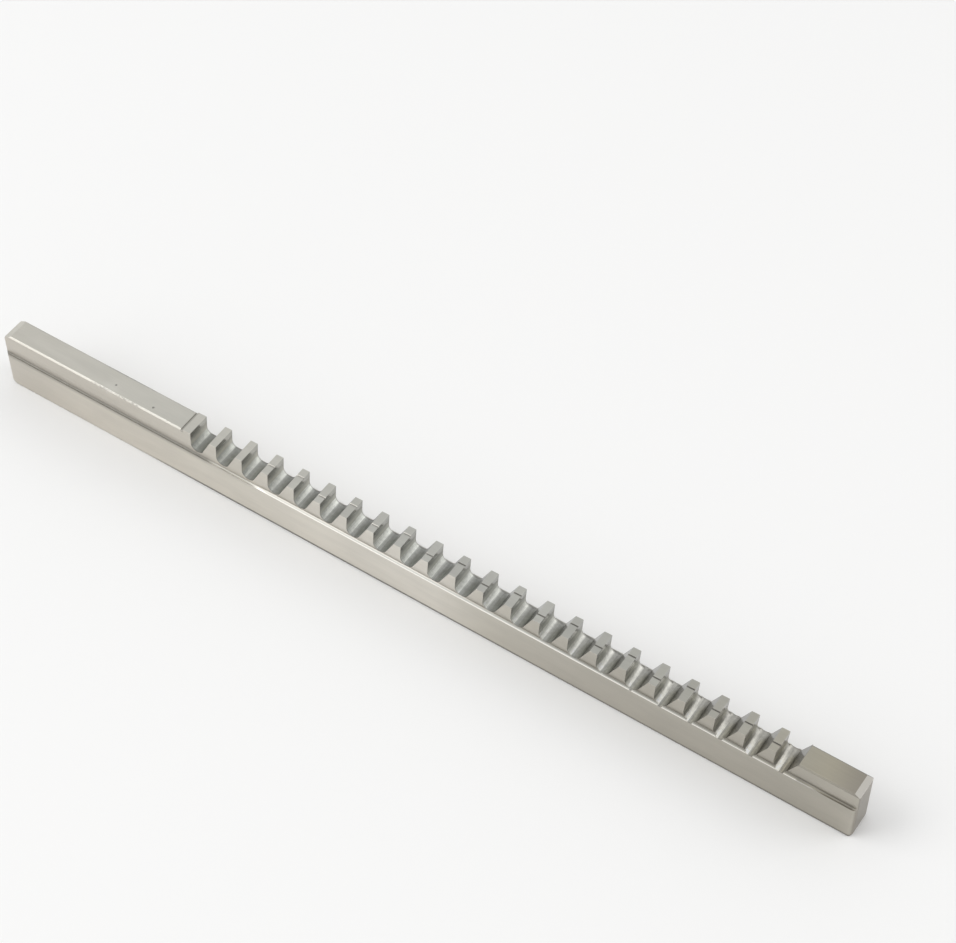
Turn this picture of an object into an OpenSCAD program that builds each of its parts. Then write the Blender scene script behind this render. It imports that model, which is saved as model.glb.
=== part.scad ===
// Push-type keyway broach: one steel bar with a row of cutting teeth along its top.
// It lies on its back with the teeth up. X runs along the bar towards the front guide, which enters
// the work first, Y runs across the bar and Z runs up from its back.

/* [Bar] */
// Overall length of the bar
bar_l = 298.5; // [285:0.5:330]
// Width of the body, which slides in the slot of a guide bushing
body_w = 9.53; // [9:0.01:12]
// Height of the body, from the back of the bar to the ledges beside the tooth ridge
body_h = 13.3; // [12:0.1:14]
// Width of the tooth ridge, which is the width of the keyway
ridge_w = 8; // [6:0.01:8.2]
// Radius of the inner corner between a ledge and the ridge
ledge_fillet = 0.4; // [0.2:0.05:0.45]
// Small bevel along the two lower edges of the body
back_bevel = 0.3; // [0.1:0.05:1]

/* [Teeth] */
// Number of teeth
tooth_count = 22; // [12:1:24]
// Distance from one cutting edge to the next
pitch = 9.525; // [8.5:0.025:10.5]
// Height of the finishing teeth above the back
finish_h = 21.65; // [20.5:0.05:24]
// Number of finishing teeth, which are all of one height
finish_count = 3; // [1:1:6]
// Height that each tooth gains on the one in front of it
rise = 0.08; // [0.02:0.01:0.1]
// Length of the land on top of a tooth
land = 2.5; // [1.5:0.1:3.2]
// Extra land length of the last finishing tooth, the one beside the shank
heel_extra = 0.5; // [0:0.1:1.5]
// Slope of a land, down from its cutting edge, in degrees
relief_angle = 3; // [1:0.5:5]
// Lean of the rake face under a cutting edge, in degrees
hook_angle = 4; // [0:0.5:10]

/* [Gullets] */
// Depth of a gullet below its cutting edge
gullet_depth = 7.3; // [6.5:0.1:8]
// Radius of the gullet floor
gullet_r = 2.3; // [1.5:0.1:2.6]

/* [Chip breakers] */
// Width of the groove across a roughing tooth
breaker_w = 0.5; // [0.3:0.05:1]
// Depth of the groove below the cutting edge
breaker_depth = 0.4; // [0.2:0.05:0.8]
// Distance from the middle of the ridge to the grooves on the far side, on every second tooth
breaker_far = 1.1; // [0.6:0.05:2.5]
// Distance from the middle of the ridge to the grooves on the near side, on the teeth between
breaker_near = 1.4; // [0.6:0.05:2.5]
// Distance from the middle to the near-side groove of the tooth beside the finishing teeth
breaker_first = 0.4; // [0:0.05:2.5]

/* [Shank] */
// Drop from the finishing teeth to the top of the shank
shank_drop = 0.45; // [0.35:0.05:1.5]
// Bevel along the two upper edges of the shank
shank_bevel = 0.35; // [0.1:0.05:1]
// Length of the grinding relief between the shank and the teeth
relief_l = 0.7; // [0.3:0.1:2]
// Depth of that relief below the shank
relief_depth = 0.25; // [0.1:0.05:0.8]
// Length of the slope at the top of the push end
push_slope_l = 2.6; // [1:0.1:5]
// Drop of the slope at the top of the push end
push_slope_h = 1.5; // [0.5:0.1:4]
// Radius of the lower corner of the push end
push_corner_r = 3.8; // [1.5:0.1:6]

/* [Front guide] */
// Length from the first roughing tooth to the front end
front_l = 25.9; // [18:0.1:40]
// Drop from the first roughing tooth to the top of the front guide
front_drop = 0.48; // [0.2:0.02:1.5]
// Bevel along the two upper edges of the front guide
front_bevel = 0.45; // [0.1:0.05:1]
// Length of the slope at the top of the front end
front_slope_l = 1.9; // [0.5:0.1:4]
// Drop of the slope at the top of the front end
front_slope_h = 0.4; // [0.2:0.1:3]
// Radius of the lower corner of the front end
front_corner_r = 1.8; // [0.5:0.1:5]
// Radius of the upright edges at both ends
end_edge_r = 1.6; // [0.4:0.1:3]

/* [Hidden] */
$fn = 64;

// How far cutting shapes reach past the faces that they cut
over = 1;
steel_colour = [0.74, 0.74, 0.72];

// Teeth are counted from the shank, so tooth 0 is the last one to cut
last_tooth = tooth_count - 1;
function edge_x(i) = bar_l / 2 - front_l - (last_tooth - i) * pitch;
function edge_h(i) = finish_h - rise * max(0, i - (finish_count - 1));
function land_of(i) = i == 0 ? land + heel_extra : land;
function heel_h(i) = edge_h(i) - land_of(i) * tan(relief_angle);

shank_h = finish_h - shank_drop;
shank_end_x = edge_x(0) - land_of(0);
front_h = edge_h(last_tooth) - front_drop;
guide_start_x = edge_x(last_tooth) + pitch - land;

// A gullet is drawn from its cutting edge at the origin: the rake face runs down to its foot, an arc
// about gullet_c makes the floor, and the back of the next tooth leaves that arc as a tangent
rake_len = (gullet_depth - gullet_r * (1 + sin(hook_angle))) / cos(hook_angle);
rake_foot = rake_len * [-sin(hook_angle), -cos(hook_angle)];
gullet_c = rake_foot + gullet_r * [cos(hook_angle), -sin(hook_angle)];

function tangent_angle(d) = atan2(d.y, d.x) - acos(gullet_r / norm(d));
function back_foot(heel) =
    let (angle = tangent_angle(heel - gullet_c))
    gullet_c + gullet_r * [cos(angle), sin(angle)];

// Place of the next heel, seen from cutting edge i
function next_heel(i) = [
    pitch - land,
    (i == last_tooth ? front_h : heel_h(i + 1)) - edge_h(i)
];

module gullet(heel) {
    head = finish_h;
    polygon([[0, head], [0, 0], rake_foot, gullet_c, back_foot(heel), heel, [heel.x, head]]);
    translate(gullet_c) circle(r = gullet_r);
}

// Outline of the bar before the gullets are cut, seen from its side
module bar_outline() {
    left = -bar_l / 2;
    right = bar_l / 2;
    lands = [
        for (i = [last_tooth:-1:0])
            each [[edge_x(i), edge_h(i)], [edge_x(i) - land_of(i), heel_h(i)]]
    ];
    polygon(concat(
        [
            [left + push_corner_r, push_corner_r],
            [left + push_corner_r, 0],
            [right - front_corner_r, 0],
            [right - front_corner_r, front_corner_r],
            [right, front_corner_r],
            [right, front_h - front_slope_h],
            [right - front_slope_l, front_h],
            [guide_start_x, front_h]
        ],
        lands,
        [
            [shank_end_x, shank_h - relief_depth],
            [shank_end_x - relief_l, shank_h - relief_depth],
            [shank_end_x - relief_l, shank_h],
            [left + push_slope_l, shank_h],
            [left, shank_h - push_slope_h],
            [left, push_corner_r]
        ]
    ));
    translate([left + push_corner_r, push_corner_r]) circle(r = push_corner_r);
    translate([right - front_corner_r, front_corner_r]) circle(r = front_corner_r);
}

module side_view() {
    difference() {
        bar_outline();
        for (i = [0:last_tooth])
            translate([edge_x(i), edge_h(i)]) gullet(next_heel(i));
    }
}

// Section across the bar: the body with its ledges and the ridge on top
module end_view() {
    difference() {
        union() {
            polygon([
                [-body_w / 2, back_bevel],
                [-body_w / 2 + back_bevel, 0],
                [body_w / 2 - back_bevel, 0],
                [body_w / 2, back_bevel],
                [body_w / 2, body_h],
                [-body_w / 2, body_h]
            ]);
            translate([-ridge_w / 2, 0]) square([ridge_w, finish_h + over]);
            translate([-ridge_w / 2 - ledge_fillet, body_h - ledge_fillet])
                square([ridge_w + 2 * ledge_fillet, 2 * ledge_fillet]);
        }
        for (side = [-1, 1])
            translate([side * (ridge_w / 2 + ledge_fillet), body_h + ledge_fillet])
                circle(r = ledge_fillet);
    }
}

// Outline seen from above, with round upright edges
module plan_view() {
    square([bar_l - 2 * end_edge_r, body_w], center = true);
    square([bar_l, body_w - 2 * end_edge_r], center = true);
    for (x = [-1, 1], y = [-1, 1])
        translate([x * (bar_l / 2 - end_edge_r), y * (body_w / 2 - end_edge_r)])
            circle(r = end_edge_r);
}

// Wedges that bevel the two upper edges of the ridge at height h, from x0 to x1
module edge_bevel(x0, x1, h, bevel) {
    reach = bevel + over;
    for (side = [-1, 1])
        translate([x0, side * ridge_w / 2, h])
            rotate([90, 0, 90])
                linear_extrude(x1 - x0)
                    polygon([[-side * reach, over], [side * over, -reach], [side * over, over]]);
}

// Place of the groove of tooth i across the ridge: in the middle on the second tooth from the front,
// and on the far and the near side in turn on the others
function breaker_y(i) =
    i == last_tooth - 1 ? 0
    : i == finish_count ? -breaker_first
    : i % 2 == 0 ? breaker_far
    : -breaker_near;

// Groove that splits the chip of roughing tooth i
module chip_breaker(i) {
    translate([edge_x(i) - land - over, breaker_y(i) - breaker_w / 2, edge_h(i) - breaker_depth])
        cube([land + 2 * over, breaker_w, breaker_depth + over]);
}

module keyway_broach() {
    color(steel_colour)
        difference() {
            intersection() {
                rotate([90, 0, 0]) linear_extrude(body_w + 2 * over, center = true) side_view();
                rotate([90, 0, 90]) linear_extrude(bar_l + 2 * over, center = true) end_view();
                translate([0, 0, -over]) linear_extrude(finish_h + 2 * over) plan_view();
            }
            edge_bevel(-bar_l / 2 - over, shank_end_x, shank_h, shank_bevel);
            edge_bevel(guide_start_x, bar_l / 2 + over, front_h, front_bevel);
            for (i = [finish_count:last_tooth]) chip_breaker(i);
        }
}

keyway_broach();
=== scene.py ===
import math

import bpy
from mathutils import Matrix, Vector


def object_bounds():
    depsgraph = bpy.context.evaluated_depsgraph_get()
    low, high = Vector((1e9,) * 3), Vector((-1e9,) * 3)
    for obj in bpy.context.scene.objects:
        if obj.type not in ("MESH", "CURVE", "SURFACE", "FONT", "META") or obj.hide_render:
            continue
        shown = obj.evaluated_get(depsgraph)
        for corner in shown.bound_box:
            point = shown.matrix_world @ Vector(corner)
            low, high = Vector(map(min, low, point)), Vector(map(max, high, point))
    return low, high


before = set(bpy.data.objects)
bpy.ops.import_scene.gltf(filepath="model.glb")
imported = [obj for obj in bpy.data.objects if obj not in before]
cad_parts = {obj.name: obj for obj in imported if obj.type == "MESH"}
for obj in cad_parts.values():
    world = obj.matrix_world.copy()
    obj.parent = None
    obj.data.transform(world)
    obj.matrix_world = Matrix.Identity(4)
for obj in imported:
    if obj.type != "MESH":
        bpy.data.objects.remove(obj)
cad_low, cad_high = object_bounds()
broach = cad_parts["keyway_broach"]

# Camera: its place in metres, its angles in degrees, its lens and sensor in millimetres
CAMERA_PLACE = Vector((0.26739, -0.36192, 0.61302))
CAMERA_DOWN = 51.281
CAMERA_TURN = 33.945
CAMERA_ROLL = -0.281
CAMERA_LENS = 97.115
SENSOR_WIDTH = 36

FLOOR_SIZE = 3.0
FLOOR_COLOUR = (0.89, 0.89, 0.885, 1)
FLOOR_ROUGHNESS = 0.7
FLOOR_SPECULAR = 0.2

# The sky is a little weaker in front, and fades between two values of a direction's Y
SKY_STRENGTH = 0.785
FRONT_SKY_STRENGTH = 0.70
FRONT_SKY_FADE = (-0.9, -0.4)

# Softboxes, which all point at the origin: name, place, width, height and brightness
SOFTBOXES = [
    ("key", (-1.25, -0.80, 1.68), 1.28, 1.28, 2.6),
    ("front_left", (-1.20, -1.60, 0.99), 1.44, 0.8, 1.0),
    ("back_right", (1.29, 0.84, 0.92), 0.98, 0.7, 2.2),
]

# Sizes of the bar in millimetres; X runs along it to the front, Y across it and Z up from its back
MM_PER_METRE = 1000.0
BAR_HALF, BODY_HALF, FINISH_HEIGHT = (MM_PER_METRE * reach for reach in cad_high)
RIDGE_HALF = 4.0
LEDGE_HEIGHT = 13.3
LEDGE_FILLET = 0.4
TOOTH_COUNT = 22
FINISH_COUNT = 3
TOOTH_RISE = 0.08
PITCH = 9.525
LAND = 2.5
FIRST_LAND = 3.0
RAKE_LEAN = 0.4
GULLET_DEPTH = 7.3
SHANK_DROP = 0.45
SHANK_BEVEL = 0.35
RELIEF_LENGTH = 0.7
GUIDE_LENGTH = 25.9
GUIDE_DROP = 0.48
FRONT_SLOPE_LENGTH = 1.9
FRONT_SLOPE_DROP = 0.4

# Places on the bar that follow from those sizes; the first tooth is the one beside the shank
LAST_EDGE = BAR_HALF - GUIDE_LENGTH
FIRST_EDGE = LAST_EDGE - (TOOTH_COUNT - 1) * PITCH
FINISH_END = FIRST_EDGE + (FINISH_COUNT - 1) * PITCH
LAST_HEIGHT = FINISH_HEIGHT - (TOOTH_COUNT - FINISH_COUNT) * TOOTH_RISE
LOWEST_GULLET = LAST_HEIGHT - GULLET_DEPTH
SHANK_END = FIRST_EDGE - FIRST_LAND
SHANK_HEIGHT = FINISH_HEIGHT - SHANK_DROP
RELIEF_START = SHANK_END - RELIEF_LENGTH
GUIDE_START = LAST_EDGE + PITCH - LAND
FRONT_SLOPE_START = BAR_HALF - FRONT_SLOPE_LENGTH
LOWEST_TOP = LAST_HEIGHT - GUIDE_DROP - FRONT_SLOPE_DROP

# On the shank's bevels, the height and the distance from the middle line add up to this
SHANK_BEVEL_SUM = RIDGE_HALF + SHANK_HEIGHT - SHANK_BEVEL

# The lands were ground four at a time, from the seventh tooth on
LAND_PASS_START = FIRST_EDGE + 5.5 * PITCH
LAND_PASS_LENGTH = 4 * PITCH

# Limits on the parts of a face's unit normal that point sideways, up or ahead
SIDE_FACE = (0.5, 0.6)
LAND_FACE = (0.97, 0.985)
LEVEL_FACE = (0.999, 0.9996)
BEVEL_FACE = (0.65, 0.75)
FRONT_SLOPE_FACE = (0.1, 0.5)
RAKE_FACE = (0.97, 0.99)
HIGHLIGHT_STRIP_FACE = (0.55, 0.95)
FLOOR_FACE = (-0.6, -0.1)
LOW_BACK_FACE = (-0.75, -0.5)
BACK_FACE = (-0.87, -0.72)

# Steel colours with painted light and shade along the bar, each with the X where it holds
TOP_STEEL_AND_SHADING = [
    (-149, (0.64, 0.62, 0.56)),
    (-60, (0.615, 0.605, 0.552)),
    (0, (0.53, 0.53, 0.493)),
    (45, (0.515, 0.515, 0.478)),
    (60, (0.485, 0.485, 0.449)),
    (110, (0.465, 0.455, 0.405)),
    (138, (0.44, 0.41, 0.33)),
    (149, (0.33, 0.305, 0.265)),
]
SIDE_STEEL_AND_SHADING = [
    (-149, (0.60, 0.565, 0.505)),
    (-60, (0.63, 0.60, 0.54)),
    (-5, (0.72, 0.69, 0.63)),
    (12, (0.72, 0.69, 0.63)),
    (30, (0.58, 0.553, 0.492)),
    (60, (0.505, 0.48, 0.426)),
    (149, (0.46, 0.435, 0.38)),
]
GULLET_STEEL_AND_SHADING = [
    (-77, (0.39, 0.395, 0.37)),
    (-45, (0.48, 0.485, 0.46)),
    (20, (0.50, 0.505, 0.48)),
    (130, (0.53, 0.515, 0.47)),
]
# A bright colour for edges, painted highlights and a smudge, and a dark one for grime and painted shade
BRIGHT_EDGE = (0.78, 0.76, 0.71, 1)
GRIME_AND_SHADE = (0.15, 0.145, 0.13, 1)

# How much of the bright colour and of the dark colour of grime and painted shade shows at its strongest
EDGE_BRIGHTNESS = 0.25
FRONT_SLOPE_BRIGHTNESS = 0.6
SMUDGE_BRIGHTNESS = 0.25
RELIEF_SHADE = 0.35
RIM_SHADE = 0.35
SPECK_DIRT = 0.8

# Tones: what the body's bright stretch gains as painted light, what the gullets keep and what the shank's
# bevels lose
BRIGHT_BODY_GAIN = 0.09
GULLET_TONE = 0.88
SHANK_BEVEL_LOSS = 0.08

# Stretches of the bar that look different, by their ends in X
BRIGHT_BODY = (-118, -35)
NICKED_BEVEL = (-113, -98)
HIGHLIT_LEDGE = (-47, 131)
GUIDE_LINE = (131, 147.4)

# Changes along the bar: where they start and end in X, and the value before and after
SHANK_LINE_FADE = (-72, -68, 1, 0.5)
SHANK_LINE_END = (-58, -50, 1, 0)
ROUGH_STRIP_END = (-72, -58, 1, 0)
CORNER_SHADE = (0, 70, 0, 0.6)
GROOVE_SHADE = (-5, 15, 0, 0.75)
LOW_EDGE_SHADE = (-105, -70, 0.1, 0.85)
LOW_EDGE_FADE = (0, 60, 1, 0.75)
STRIP_LOWERING = (40, 115, 0, 0.35)
STRIP_TONE = (20, 70, 1.03, 0.9)
FAR_HIGHLIGHT_FADE = (-60, 60, 0.1, 0.5)
FRONT_FAR_HIGHLIGHT_FADE = (75, 110, 0, 0.4)
NEAR_HIGHLIGHT_FADE = (-20, 80, 0.3, -0.25)
BACK_PAINTED_SHADE = (-20, 60, 0.15, 0.38)
LOW_BACK_PAINTED_SHADE = (-55, 10, 0.33, 0)
FLOOR_PAINTED_SHADE = (-60, -35, 0, 0.2)
RAKE_FADE = (10, 90, 1, 0.95)
CUT_ROUGHNESS = (10, 80, 0.50, 0.35)
SMOOTH_BACKS = (0, 50, 0, 1)

# Specks with their sizes, and a smudge
SPECKS = [((-107.3, -1.0, SHANK_HEIGHT), 0.45), ((-92.4, -1.8, SHANK_HEIGHT), 0.5)]
SMUDGE = (-108, -2.3, SHANK_HEIGHT)

# Frequencies of marks and blemishes along X, Y and Z, per millimetre
LENGTHWISE_MARKS = (0.05, 5.0, 5.0)
CROSSWISE_MARKS = (3.2, 0.12, 3.2)
BLOTCHES = (0.06, 0.25, 0.25)
GRAIN = (5.0, 5.0, 5.0)
MOTTLE = (1.1, 1.1, 1.1)

# The ranges that hold most and nearly all of a noise's values
NOISE_MIDDLE = (0.3, 0.7)
NOISE_SPAN = (0.2, 0.8)

# Finish: sizes in metres, and roughness
EDGE_ROUNDING = 0.00008
MARK_HEIGHT = 0.00003
MARK_STRENGTH = 0.25
GROUND_ROUGHNESS = (0.30, 0.40)
STRIP_ROUGHNESS = 0.7
SMOOTH_ROUGHNESS = 0.18
HIGHLIGHT_STRIP_ROUGHNESS = 0.14
DIRT_AND_SHADE_ROUGHNESS = 0.25

# Sockets of a mix node for each kind of value: its two inputs and its output
MIX_SOCKETS = {"FLOAT": (2, 3, 0), "VECTOR": (4, 5, 1), "RGBA": (6, 7, 2)}


class Nodes:
    """Short ways to add shader nodes to one node tree."""

    def __init__(self, tree):
        self.tree = tree

    def put(self, value, socket):
        if isinstance(value, bpy.types.NodeSocket):
            self.tree.links.new(value, socket)
        else:
            socket.default_value = value

    def add(self, kind, **settings):
        node = self.tree.nodes.new(kind)
        for key, value in settings.items():
            setattr(node, key, value)
        return node

    def math(self, operation, first, second=0.0):
        node = self.add("ShaderNodeMath", operation=operation)
        self.put(first, node.inputs[0])
        self.put(second, node.inputs[1])
        return node.outputs[0]

    def plus(self, first, second):
        return self.math("ADD", first, second)

    def less(self, first, second):
        return self.math("SUBTRACT", first, second)

    def all_but(self, mask):
        return self.less(1.0, mask)

    def most(self, first, *others):
        for other in others:
            first = self.math("MAXIMUM", first, other)
        return first

    def times(self, first, *others):
        for other in others:
            first = self.math("MULTIPLY", first, other)
        return first

    def rise(self, value, low, high, start=0.0, end=1.0, kind="SMOOTHSTEP"):
        """Goes from start to end while the value goes from low to high."""
        node = self.add("ShaderNodeMapRange", interpolation_type=kind)
        self.put(value, node.inputs["Value"])
        node.inputs["From Min"].default_value = low
        node.inputs["From Max"].default_value = high
        node.inputs["To Min"].default_value = start
        node.inputs["To Max"].default_value = end
        return node.outputs["Result"]

    def fall(self, value, low, high):
        """Goes from one to zero while the value goes from low to high."""
        return self.rise(value, low, high, 1.0, 0.0)

    def between(self, value, low, high, soft):
        """One from low to high, and zero beyond the soft rims outside them."""
        return self.times(self.rise(value, low - soft, low), self.fall(value, high, high + soft))

    def vector_math(self, operation, first, second, result="Vector"):
        node = self.add("ShaderNodeVectorMath", operation=operation)
        self.put(first, node.inputs[0])
        self.put(second, node.inputs[1])
        return node.outputs[result]

    def distance(self, first, second):
        return self.vector_math("DISTANCE", first, second, "Value")

    def dot(self, first, second):
        return self.vector_math("DOT_PRODUCT", first, second, "Value")

    def scale(self, vector, factor):
        node = self.add("ShaderNodeVectorMath", operation="SCALE")
        self.put(vector, node.inputs[0])
        self.put(factor, node.inputs["Scale"])
        return node.outputs["Vector"]

    def split(self, vector):
        node = self.add("ShaderNodeSeparateXYZ")
        self.put(vector, node.inputs[0])
        return node.outputs

    def join(self, x, y, z):
        node = self.add("ShaderNodeCombineXYZ")
        for value, socket in zip((x, y, z), node.inputs):
            self.put(value, socket)
        return node.outputs[0]

    def turn_normal(self, vector, come_from, go_to):
        node = self.add("ShaderNodeVectorTransform", vector_type="NORMAL",
                        convert_from=come_from, convert_to=go_to)
        self.put(vector, node.inputs[0])
        return node.outputs[0]

    def mix_kind(self, kind, factor, first, second):
        """Goes from the first to the second while the factor goes from zero to one."""
        node = self.add("ShaderNodeMix", data_type=kind)
        first_input, second_input, output = MIX_SOCKETS[kind]
        self.put(factor, node.inputs["Factor"])
        self.put(first, node.inputs[first_input])
        self.put(second, node.inputs[second_input])
        return node.outputs[output]

    def mix_colours(self, factor, first, second):
        return self.mix_kind("RGBA", factor, first, second)

    def mix_values(self, factor, first, second):
        return self.mix_kind("FLOAT", factor, first, second)

    def mix_vectors(self, factor, first, second):
        return self.mix_kind("VECTOR", factor, first, second)

    def ramp(self, share, stops):
        """The colour at a share between 0 and 1, from stops that each have a position and a colour."""
        node = self.add("ShaderNodeValToRGB")
        self.put(share, node.inputs[0])
        elements = node.color_ramp.elements
        while len(elements) < len(stops):
            elements.new(0.5)
        for element, (position, colour) in zip(elements, stops):
            element.position = position
            element.color = (*colour, 1)
        return node.outputs[0]

    def noise(self, vector, frequency, detail=3.0, roughness=0.5):
        """Noise between 0 and 1, with its frequency along each axis."""
        node = self.add("ShaderNodeTexNoise")
        self.put(self.vector_math("MULTIPLY", vector, frequency), node.inputs["Vector"])
        node.inputs["Scale"].default_value = 1.0
        node.inputs["Detail"].default_value = detail
        node.inputs["Roughness"].default_value = roughness
        return node.outputs[0]


class Steel(Nodes):
    """The broach's material; its masks of the bar's zones go from 0 to 1."""

    def __init__(self):
        self.material = bpy.data.materials.new("tool_steel")
        self.material.use_nodes = True
        super().__init__(self.material.node_tree)
        self.find_point()
        self.find_marks()
        self.row = self.between(self.x, FIRST_EDGE - RAKE_LEAN, GUIDE_START, soft=0.1)
        self.high = self.rise(self.z, LOWEST_TOP - 0.25, LOWEST_TOP - 0.05)
        self.find_gullets()
        self.find_grooves()
        self.find_ledges()
        self.find_bevels()
        self.find_dirt_and_shade()
        shader = self.tree.nodes["Principled BSDF"]
        self.put(self.colour(), shader.inputs["Base Color"])
        self.put(self.roughness(), shader.inputs["Roughness"])
        self.put(self.normal(), shader.inputs["Normal"])
        shader.inputs["Metallic"].default_value = 1.0

    def find_point(self):
        """Where the shaded point is on the bar, in millimetres, and which way its face looks."""
        self.point = self.scale(self.add("ShaderNodeTexCoord").outputs["Object"], MM_PER_METRE)
        self.x, self.y, self.z = self.split(self.point)
        self.across = self.math("ABSOLUTE", self.y)
        self.over_ledge = self.less(self.z, LEDGE_HEIGHT)
        flat_normal = self.add("ShaderNodeNewGeometry").outputs["True Normal"]
        self.ahead, sideways, self.up = self.split(self.turn_normal(flat_normal, "WORLD", "OBJECT"))
        self.side = self.math("ABSOLUTE", sideways)
        self.on_side = self.rise(self.side, *SIDE_FACE)
        bevel = self.add("ShaderNodeBevel", samples=6)
        bevel.inputs["Radius"].default_value = EDGE_ROUNDING
        self.round_normal = bevel.outputs["Normal"]
        self.edge = self.fall(self.dot(self.round_normal, flat_normal), 0.93, 0.995)

    def find_marks(self):
        """Grinding marks, along the bar on the ground faces and across it in the gullets, and blemishes."""
        self.along = self.noise(self.point, LENGTHWISE_MARKS, detail=4.0, roughness=0.6)
        self.cross = self.noise(self.point, CROSSWISE_MARKS, detail=4.0, roughness=0.6)
        self.blotch = self.noise(self.point, BLOTCHES)
        self.grain = self.noise(self.point, GRAIN, detail=2.0)
        self.mottle = self.noise(self.point, MOTTLE, detail=2.0)

    def find_gullets(self):
        """Gullets are the faces of the tooth row that don't look sideways, apart from the lands."""
        land = self.times(self.rise(self.up, *LAND_FACE), self.high)
        self.land = self.times(self.row, land)
        below_ledge = self.fall(self.over_ledge, -0.05, -0.02)
        on_ridge = self.most(self.fall(self.across, RIDGE_HALF, RIDGE_HALF + 0.05), below_ledge)
        above_back = self.rise(self.z, LOWEST_GULLET - 0.6, LOWEST_GULLET - 0.4)
        self.gullet = self.times(self.row, self.fall(self.side, 0.3, 0.6), self.all_but(land), on_ridge,
                                 above_back)
        self.rake = self.times(self.gullet, self.rise(self.ahead, *RAKE_FACE))
        edge_height = self.rise(self.x, FINISH_END, LAST_EDGE, FINISH_HEIGHT, LAST_HEIGHT, kind="LINEAR")
        self.depth = self.less(edge_height, self.z)
        self.back = self.times(self.gullet, self.fall(self.ahead, *BACK_FACE))
        self.low_back = self.times(self.gullet, self.fall(self.ahead, *LOW_BACK_FACE))
        # A painted highlight strip in the gullets, which lies lower near the front guide
        lowered = self.plus(self.ahead, self.rise(self.x, *STRIP_LOWERING, kind="LINEAR"))
        self.highlight_strip = self.times(self.gullet, self.between(lowered, *HIGHLIGHT_STRIP_FACE, soft=0.2))
        self.gullet_floor = self.times(self.gullet, self.between(lowered, *FLOOR_FACE, soft=0.2))
        to_side = self.less(self.mix_values(below_ledge, RIDGE_HALF, BODY_HALF), self.across)
        self.gullet_rim = self.times(self.gullet, self.fall(to_side, 0.05, 0.5))

    def find_grooves(self):
        """Chip breakers: their level floors, since the lands slope, and their walls inside the ridge."""
        level = self.rise(self.up, *LEVEL_FACE)
        inside = self.fall(self.across, RIDGE_HALF - 0.3, RIDGE_HALF - 0.2)
        walls = self.times(self.on_side, inside)
        self.groove = self.times(self.row, self.high, self.most(level, walls))

    def find_ledges(self):
        """The ledges with their round inner corners, and a painted highlight on their outer edges along the
        tooth row.
        """
        lengthwise = self.fall(self.math("ABSOLUTE", self.ahead), *SIDE_FACE)
        outside = self.times(self.rise(self.across, RIDGE_HALF - 0.01, RIDGE_HALF), lengthwise,
                             self.all_but(self.gullet))
        low = self.between(self.over_ledge, -0.01, LEDGE_FILLET + 0.05, soft=0.01)
        self.ledge = self.times(outside, low)
        self.highlit_ledge_part = self.between(self.x, *HIGHLIT_LEDGE, soft=10)
        # A painted highlight on the ledge's outer rim along its highlit stretch
        rim = self.times(self.rise(self.across, BODY_HALF - 0.3, BODY_HALF - 0.15),
                         self.between(self.over_ledge, -0.12, 0.05, soft=0.08))
        self.ledge_highlight_rim = self.times(outside, rim, self.highlit_ledge_part)
        # The wheel's corner left a rougher strip above the ledge of the shank
        self.rough_strip = self.times(self.between(self.over_ledge, 0.35, 0.9, soft=0.3), self.on_side,
                                      self.rise(self.x, *ROUGH_STRIP_END))

    def find_bevels(self):
        """The bevels along the shank and the front guide, and the slope at the top of the front end."""
        # The shank's bevels are rounded a little into the faces beside them
        beside = self.rise(self.plus(self.across, self.z), SHANK_BEVEL_SUM - 0.2, SHANK_BEVEL_SUM - 0.02)
        self.shank_bevel = self.times(beside, self.fall(self.x, RELIEF_START - 0.3, RELIEF_START - 0.1))
        slanted = self.times(self.between(self.up, *BEVEL_FACE, soft=0.04), self.rise(self.side, 0.6, 0.65))
        self.guide_bevel = self.times(slanted, self.high, self.rise(self.x, GUIDE_START - 1, GUIDE_START))
        at_front = self.rise(self.x, FRONT_SLOPE_START - 0.2, FRONT_SLOPE_START - 0.1)
        self.front_slope = self.times(at_front, self.high,
                                      self.between(self.ahead, *FRONT_SLOPE_FACE, soft=0.05))

    def find_dirt_and_shade(self):
        """Painted shade along the ledges, in the relief and some grooves, on low edges and rims, and specks
        of grime.
        """
        # Painted shade in the ledge's inner corner towards the front
        corner = self.times(self.ledge, self.rise(self.over_ledge, 0.01, 0.06), self.highlit_ledge_part,
                            self.rise(self.x, *CORNER_SHADE))
        # Painted shade in the relief behind the first tooth
        relief = self.times(self.between(self.x, RELIEF_START, SHANK_END, soft=0.35),
                            self.rise(self.z, SHANK_HEIGHT - 1.2, SHANK_HEIGHT - 0.7), RELIEF_SHADE)
        # Painted shade along the low edge of the sides
        lowest = self.times(self.fall(self.z, 0.6, 1.2), self.on_side, self.rise(self.x, *LOW_EDGE_SHADE),
                            self.rise(self.x, *LOW_EDGE_FADE))
        # Painted shade in the chip breakers towards the front
        grooves = self.times(self.groove, self.rise(self.x, *GROOVE_SHADE))
        # Painted shade on the front guide's bevels, stronger on the far one than the near one
        bevels = self.times(self.guide_bevel, self.rise(self.y, -1, 1, 0.3, 0.85))
        # Painted shade along the gullet rims
        rims = self.times(self.gullet_rim, RIM_SHADE)
        specks = [self.speck(place, size) for place, size in SPECKS]
        self.dirt_and_shade = self.most(self.ledge_shade(), corner, relief, lowest, grooves, bevels, rims, *specks)

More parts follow.
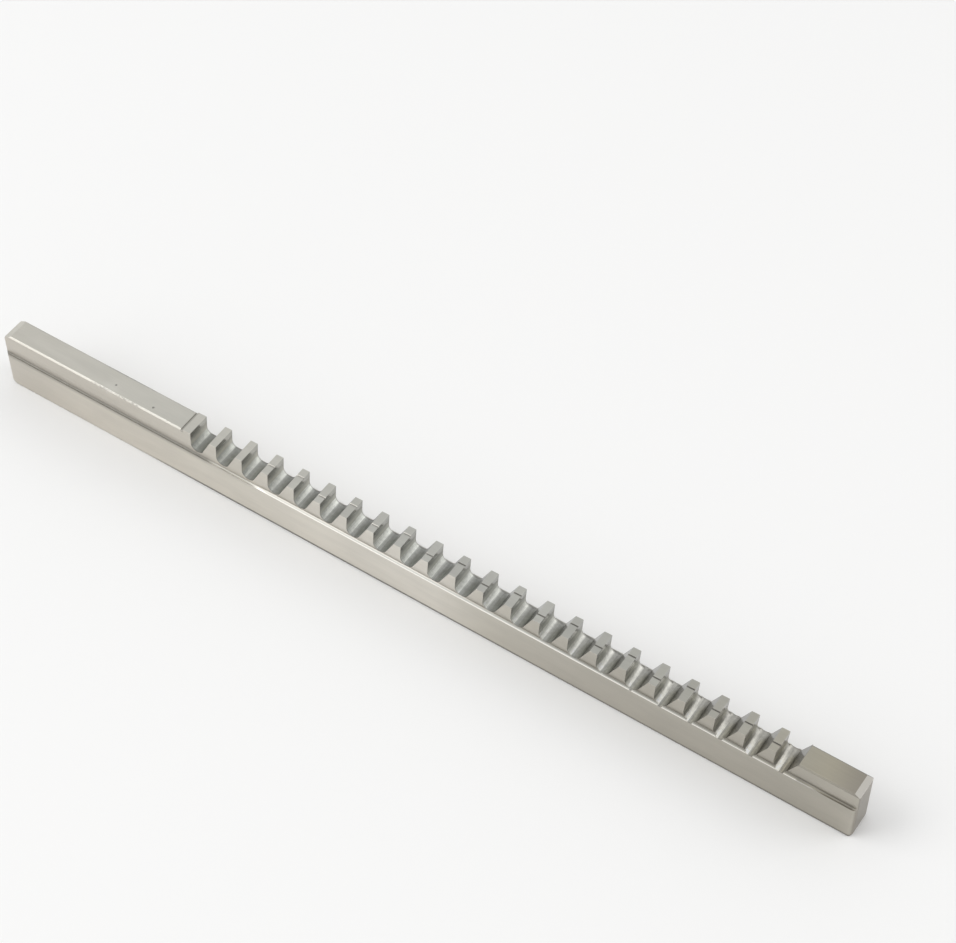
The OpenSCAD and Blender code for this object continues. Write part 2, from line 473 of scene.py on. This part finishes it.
    def ledge_shade(self):
        """Painted shade: dark lines along the ledges of the shank and the front guide, which fade on the
        sides.
        """
        off_ledge = self.math("ABSOLUTE", self.over_ledge)
        under = self.rise(off_ledge, 0, 1.7, 0.42, 0)
        over = self.rise(off_ledge, 0, 3.4, 0.14, 0)
        beside = self.mix_values(self.rise(self.over_ledge, 0, 0.1), under, over)
        on_ledge = self.times(self.ledge, self.rise(self.up, 0.1, 0.9, 0.45, 0.78))
        shank_line = self.times(self.rise(self.x, *SHANK_LINE_FADE), self.rise(self.x, *SHANK_LINE_END),
                                self.most(beside, on_ledge))
        guide_line = self.times(self.between(self.x, *GUIDE_LINE, soft=0.8), under,
                                self.rise(self.over_ledge, -0.2, 0, 0.2, 1.1))
        return self.times(self.most(shank_line, guide_line), self.all_but(self.gullet),
                          self.rise(self.grain, 0.2, 0.6, 0.85, 1.0))

    def speck(self, place, size):
        """A dark speck with a ragged rim."""
        far = self.plus(self.distance(self.point, place), self.rise(self.grain, *NOISE_SPAN, -0.2, 0.2))
        return self.rise(far, size * 0.4, size, SPECK_DIRT, 0)

    def along_bar(self, colours):
        share = self.rise(self.x, -BAR_HALF, BAR_HALF, kind="LINEAR")
        return self.ramp(share, [((x + BAR_HALF) / (2 * BAR_HALF), colour) for x, colour in colours])

    def ground_colour(self):
        """Colour of the flat ground faces, with painted light along the bar, and the grinding passes over
        the lands.
        """
        colour = self.mix_colours(self.rise(self.side, 0.6, 0.9), self.along_bar(TOP_STEEL_AND_SHADING),
                                  self.along_bar(SIDE_STEEL_AND_SHADING))
        tone = self.plus(self.rise(self.along, *NOISE_MIDDLE, 0.97, 1.03),
                         self.rise(self.blotch, *NOISE_MIDDLE, -0.03, 0.03))
        # Painted light: the body's side is brighter over a stretch near the shank
        body = self.times(self.between(self.x, *BRIGHT_BODY, soft=25), self.fall(self.over_ledge, -0.1, 0),
                          self.on_side)
        gain = self.plus(1.0, self.times(body, BRIGHT_BODY_GAIN))
        colour = self.scale(colour, self.times(tone, gain))
        # The lands of one pass get brighter towards the front
        passes = self.math("DIVIDE", self.less(self.x, LAND_PASS_START), LAND_PASS_LENGTH)
        land_tone = self.rise(self.math("FRACT", passes), 0, 1, 0.95, 1.06, kind="LINEAR")
        lands = self.times(self.land, self.rise(self.x, LAND_PASS_START - 1, LAND_PASS_START))
        return self.mix_colours(lands, colour, self.scale(colour, land_tone))

    def gullet_colour(self):
        """Colour of the gullets below the rake faces: a painted highlight strip at the foot, painted shade
        on the floor and back.
        """
        marks = self.times(self.rise(self.cross, *NOISE_MIDDLE, 0.9, 1.1),
                           self.rise(self.grain, *NOISE_MIDDLE, 0.95, 1.05),
                           self.rise(self.mottle, 0.35, 0.65, 0.93, 1.07))
        # The painted highlight fades towards the far and near sides of the gullets
        far = self.plus(self.rise(self.x, *FAR_HIGHLIGHT_FADE), self.rise(self.x, *FRONT_FAR_HIGHLIGHT_FADE))
        far_highlight_fade = self.times(far, self.rise(self.y, -1.5, 2.5))
        near_highlight_fade = self.times(self.rise(self.x, *NEAR_HIGHLIGHT_FADE), self.fall(self.y, -3.5, -0.5))
        strip = self.less(self.rise(self.x, *STRIP_TONE), self.plus(far_highlight_fade, near_highlight_fade))
        foot = self.plus(GULLET_TONE, self.times(self.highlight_strip, strip))
        # Painted shade on the backs of the teeth and on the gullet floors
        back = self.all_but(self.times(self.back, self.rise(self.x, *BACK_PAINTED_SHADE)))
        low_back = self.all_but(self.times(self.low_back, self.rise(self.x, *LOW_BACK_PAINTED_SHADE)))
        floor = self.all_but(self.times(self.gullet_floor, self.rise(self.x, *FLOOR_PAINTED_SHADE)))
        return self.scale(self.along_bar(GULLET_STEEL_AND_SHADING), self.times(marks, foot, back, low_back, floor))

    def colour(self):
        below_rake = self.less(self.gullet, self.rake)
        colour = self.mix_colours(below_rake, self.ground_colour(), self.gullet_colour())
        # Painted shade and light on the rake faces: darker below the cutting edge and brighter at the foot
        rake_shading = self.times(self.rise(self.depth, 2.0, 5.0, 0.8, 1.3), self.rise(self.x, *RAKE_FADE),
                               self.rise(self.y, 0, 3, 1, 0.85))
        colour = self.mix_colours(self.rake, colour, self.scale(colour, rake_shading))
        # Edges get some bright colour, partly from wear and partly as a painted highlight
        colour = self.mix_colours(self.times(self.edge, EDGE_BRIGHTNESS), colour, BRIGHT_EDGE)
        # Painted highlights on the outer rims of the ledges and on the front slope
        painted_highlights = self.most(self.ledge_highlight_rim, self.times(self.front_slope, FRONT_SLOPE_BRIGHTNESS))
        colour = self.mix_colours(painted_highlights, colour, BRIGHT_EDGE)
        # The shank's bevels are a little duller and nicked in the middle
        nicks = self.times(self.between(self.x, *NICKED_BEVEL, soft=3),
                           self.rise(self.mottle, 0.42, 0.56, 0.08, 0.35))
        bevel_loss = self.times(self.shank_bevel, self.plus(SHANK_BEVEL_LOSS, nicks))
        colour = self.scale(colour, self.all_but(bevel_loss))
        from_smudge = self.distance(self.point, SMUDGE)
        smudge = self.times(self.rise(from_smudge, 0.5, 4.0, SMUDGE_BRIGHTNESS, 0),
                            self.rise(self.blotch, 0.3, 0.6))
        colour = self.mix_colours(smudge, colour, BRIGHT_EDGE)
        # Grime and painted shade come last
        return self.mix_colours(self.dirt_and_shade, colour, GRIME_AND_SHADE)

    def roughness(self):
        ground = self.plus(self.rise(self.along, *NOISE_SPAN, *GROUND_ROUGHNESS),
                           self.rise(self.grain, *NOISE_SPAN, -0.03, 0.03))
        ground = self.mix_values(self.rough_strip, ground, STRIP_ROUGHNESS)
        cut = self.plus(self.rise(self.x, *CUT_ROUGHNESS), self.rise(self.cross, *NOISE_SPAN, -0.06, 0.06))
        cut = self.plus(cut, self.times(self.highlight_strip, HIGHLIGHT_STRIP_ROUGHNESS))
        # The tops of the rake faces and the backs of the teeth near the front guide are smooth
        upper_rake = self.times(self.rake, self.fall(self.depth, 1.5, 3.5))
        smooth = self.most(upper_rake, self.times(self.back, self.rise(self.x, *SMOOTH_BACKS)))
        cut = self.mix_values(smooth, cut, SMOOTH_ROUGHNESS)
        clean = self.mix_values(self.gullet, ground, cut)
        return self.plus(clean, self.times(self.dirt_and_shade, DIRT_AND_SHADE_ROUGHNESS))

    def normal(self):
        bump = self.add("ShaderNodeBump")
        bump.inputs["Strength"].default_value = MARK_STRENGTH
        bump.inputs["Distance"].default_value = MARK_HEIGHT
        marks = self.mix_values(self.gullet, self.along, self.plus(self.cross, self.grain))
        self.put(marks, bump.inputs["Height"])
        self.put(self.round_normal, bump.inputs["Normal"])
        # The shank's bevels and the ledges along their highlit stretch lean outwards, and the grooves lean
        # to the near side
        outwards = self.turn_normal(self.join(0.0, self.math("SIGN", self.y), 1.0), "OBJECT", "WORLD")
        near = self.turn_normal((0, -1, 1), "OBJECT", "WORLD")
        leaning = self.most(self.ledge_highlight_rim, self.times(self.ledge, self.highlit_ledge_part), self.shank_bevel)
        normal = self.mix_vectors(leaning, bump.outputs["Normal"], outwards)
        return self.mix_vectors(self.groove, normal, near)


def make_camera():
    data = bpy.data.cameras.new("camera")
    data.lens = CAMERA_LENS
    data.sensor_width = SENSOR_WIDTH
    camera = bpy.data.objects.new("camera", data)
    bpy.context.collection.objects.link(camera)
    turn = Matrix.Rotation(math.radians(CAMERA_TURN), 4, "Z")
    tip = Matrix.Rotation(math.radians(90 - CAMERA_DOWN), 4, "X")
    roll = Matrix.Rotation(math.radians(CAMERA_ROLL), 4, "Z")
    camera.matrix_world = Matrix.Translation(CAMERA_PLACE) @ turn @ tip @ roll
    bpy.context.scene.camera = camera


def make_floor():
    half = FLOOR_SIZE / 2
    mesh = bpy.data.meshes.new("floor")
    corners = [(-half, -half, 0), (half, -half, 0), (half, half, 0), (-half, half, 0)]
    mesh.from_pydata(corners, [], [(0, 1, 2, 3)])
    floor = bpy.data.objects.new("floor", mesh)
    bpy.context.collection.objects.link(floor)
    material = bpy.data.materials.new("floor")
    material.use_nodes = True
    shader = material.node_tree.nodes["Principled BSDF"]
    shader.inputs["Base Color"].default_value = FLOOR_COLOUR
    shader.inputs["Roughness"].default_value = FLOOR_ROUGHNESS
    shader.inputs["Specular IOR Level"].default_value = FLOOR_SPECULAR
    mesh.materials.append(material)


def make_sky():
    world = bpy.data.worlds.new("studio")
    bpy.context.scene.world = world
    world.use_nodes = True
    nodes = Nodes(world.node_tree)
    direction = nodes.split(nodes.add("ShaderNodeTexCoord").outputs["Generated"])
    strength = nodes.rise(direction["Y"], *FRONT_SKY_FADE, FRONT_SKY_STRENGTH, SKY_STRENGTH)
    background = world.node_tree.nodes["Background"]
    background.inputs["Color"].default_value = (1, 1, 1, 1)
    nodes.put(strength, background.inputs["Strength"])


def add_softbox(name, place, width, height, brightness):
    data = bpy.data.lights.new(name, "AREA")
    data.shape = "RECTANGLE"
    data.size = width
    data.size_y = height
    data.energy = brightness * math.pi * width * height
    light = bpy.data.objects.new(name, data)
    bpy.context.collection.objects.link(light)
    light.location = place
    light.rotation_mode = "QUATERNION"
    light.rotation_quaternion = (-Vector(place)).to_track_quat("-Z", "Y")


make_camera()
make_floor()
make_sky()
for softbox in SOFTBOXES:
    add_softbox(*softbox)
bpy.context.scene.view_settings.view_transform = "Standard"
broach.material_slots[0].material = Steel().material
